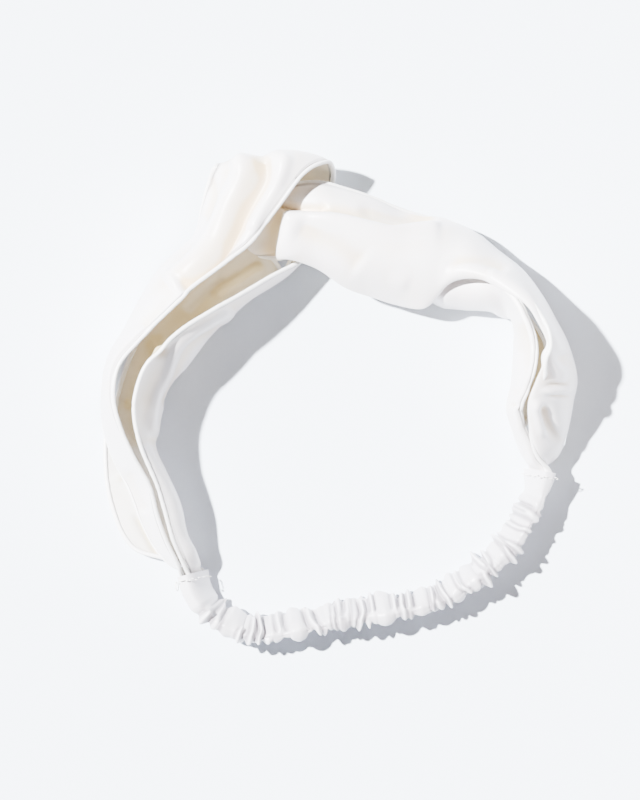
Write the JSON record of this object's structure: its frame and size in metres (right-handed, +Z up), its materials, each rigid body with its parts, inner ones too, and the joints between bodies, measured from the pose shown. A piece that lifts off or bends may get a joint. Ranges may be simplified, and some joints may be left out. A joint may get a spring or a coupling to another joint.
{
  "type": "twist-knot headband",
  "caption": "Fabric headband with two corded satin strips looped through each other in a front knot and a ruched elastic casing at the back.",
  "frame": {"origin": "middle of the headband's outline, on the surface it rests on", "axes": "+Z up, away from the surface it rests on and along the axis of the head opening; +X from the left seam to the right seam; +Y towards the front, where the knot is"},
  "size_m": [0.1806, 0.1834, 0.0436],
  "materials": {
    "ivory_satin": "lustrous satin weave, fine sheen",
    "ivory_lining": "satin lining, softer sheen",
    "ivory_piping": "satin bias wrapped round a cord",
    "cotton_cord": "matt twisted cotton",
    "white_elastic": "woven rubber elastic, matt",
    "ivory_thread": "spun sewing thread"
  },
  "bodies": {
    "front_band": {"left_strip_face": "ivory_satin", "left_strip_lining": "ivory_lining", "left_upper_piping": "ivory_piping", "left_upper_cord": "cotton_cord", "left_lower_piping": "ivory_piping", "left_lower_cord": "cotton_cord", "right_strip_face": "ivory_satin", "right_strip_lining": "ivory_lining", "right_upper_piping": "ivory_piping", "right_upper_cord": "cotton_cord", "right_lower_piping": "ivory_piping", "right_lower_cord": "cotton_cord", "left_seam_thread": "ivory_thread", "right_seam_thread": "ivory_thread"},
    "elastic_back": {"elastic_casing": "ivory_satin", "elastic_band": "white_elastic"}
  },
  "joints": [
    {"name": "elastic_stretch", "type": "slide", "parent": "front_band", "child": "elastic_back", "axis": [0, -1, 0], "range_m": [0, 0.035], "stiffness_N_per_m": 60, "deforming": ["elastic_casing", "elastic_band"]}
  ]
}
